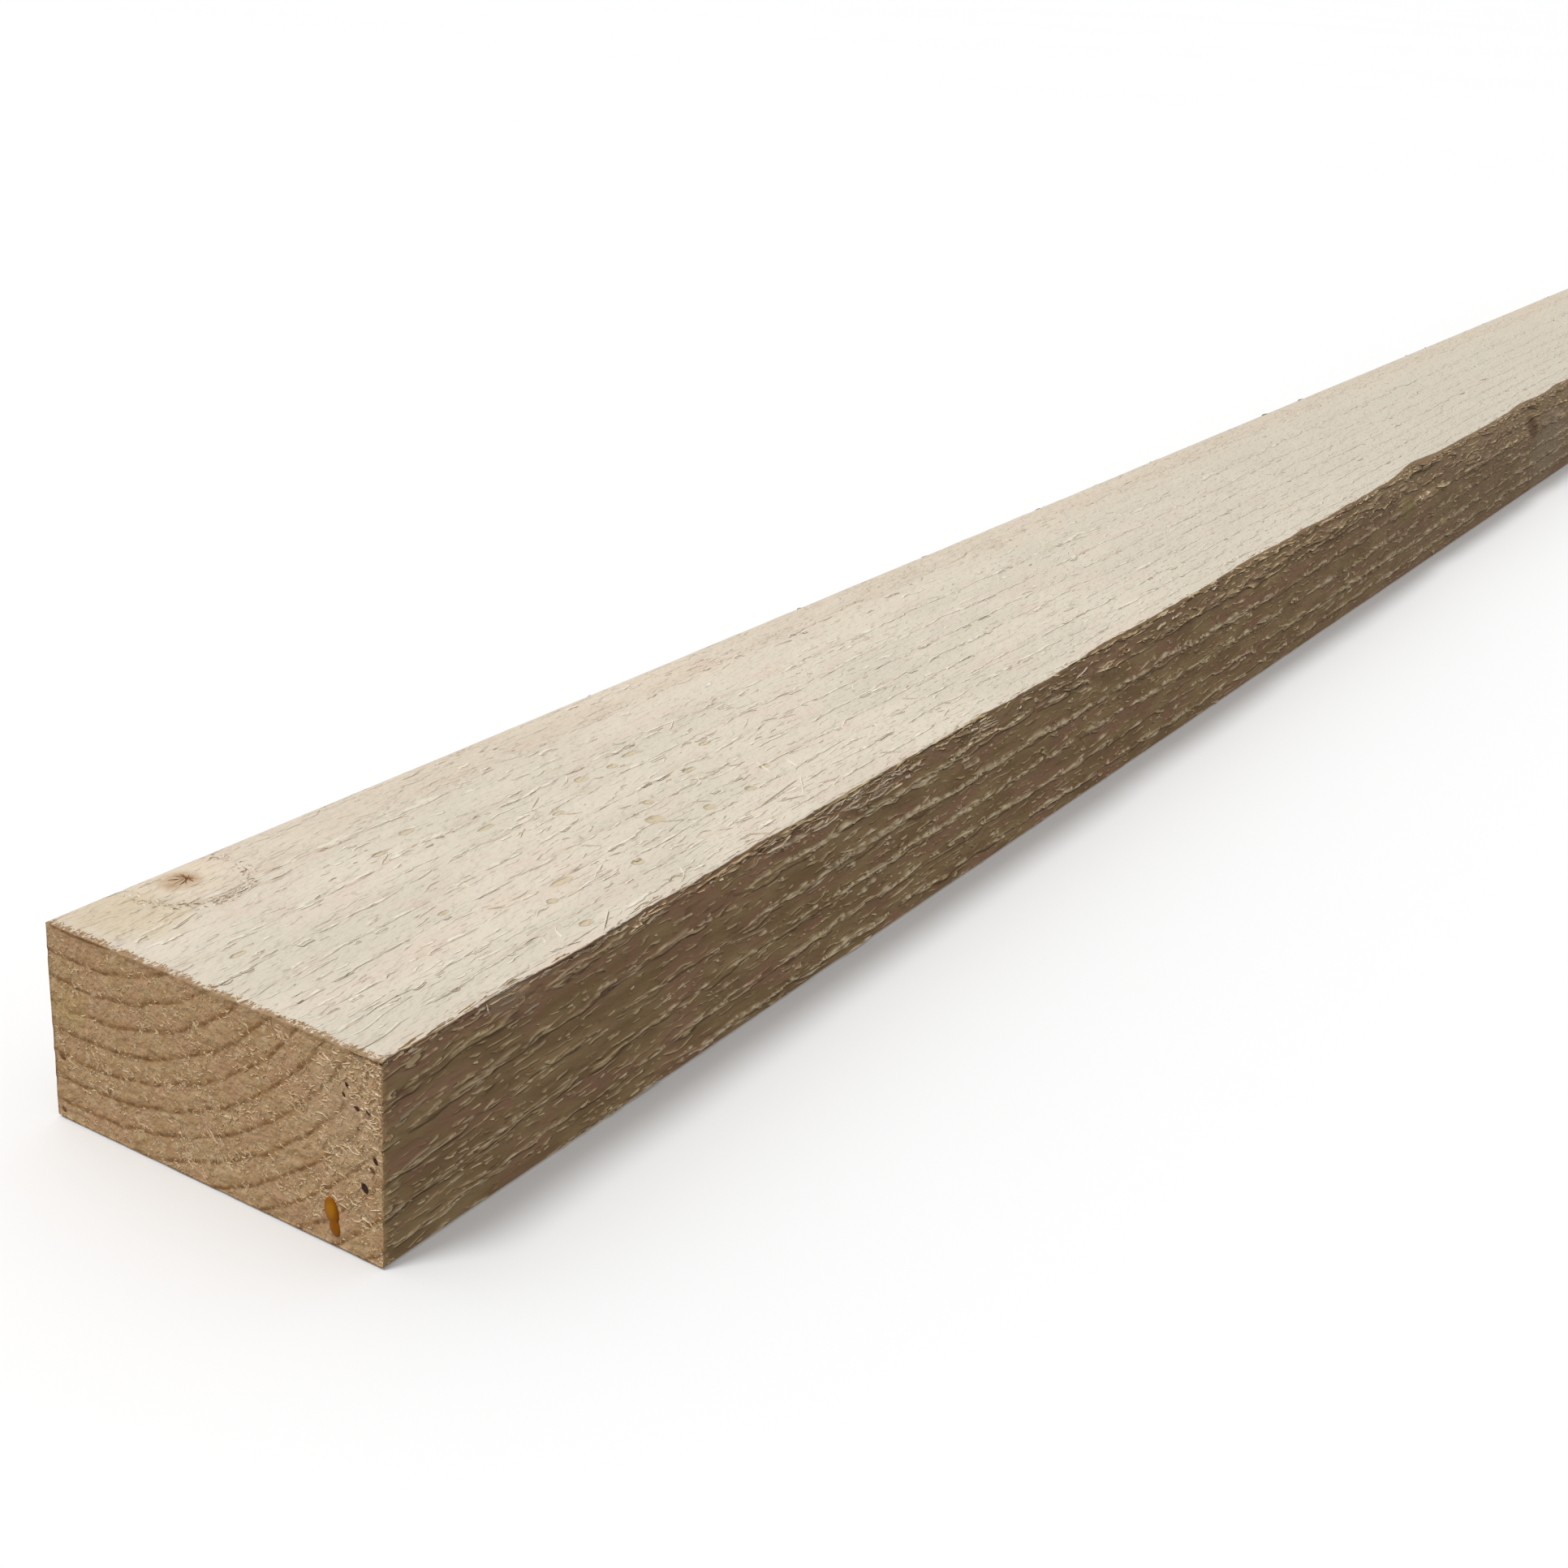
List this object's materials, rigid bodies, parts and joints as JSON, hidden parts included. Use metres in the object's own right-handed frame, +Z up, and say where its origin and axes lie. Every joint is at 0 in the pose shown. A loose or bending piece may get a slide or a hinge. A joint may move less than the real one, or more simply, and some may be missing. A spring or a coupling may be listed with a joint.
{
  "type": "rough-sawn timber plank",
  "caption": "Straight rough-sawn softwood plank of rectangular section, with square-cut ends, eased arrises and a chipped wane that widens along one top edge.",
  "frame": {"origin": "middle of the lower wide face, which the plank lies on", "axes": "+X along the plank, away from the near end; +Y across it, from the waney front edge to the back edge; +Z up through its thickness"},
  "size_m": [1.8, 0.1, 0.05],
  "materials": {
    "sawn_wood": "rough sawn, untreated"
  },
  "bodies": {
    "root": {"plank": "sawn_wood"}
  },
  "joints": []
}
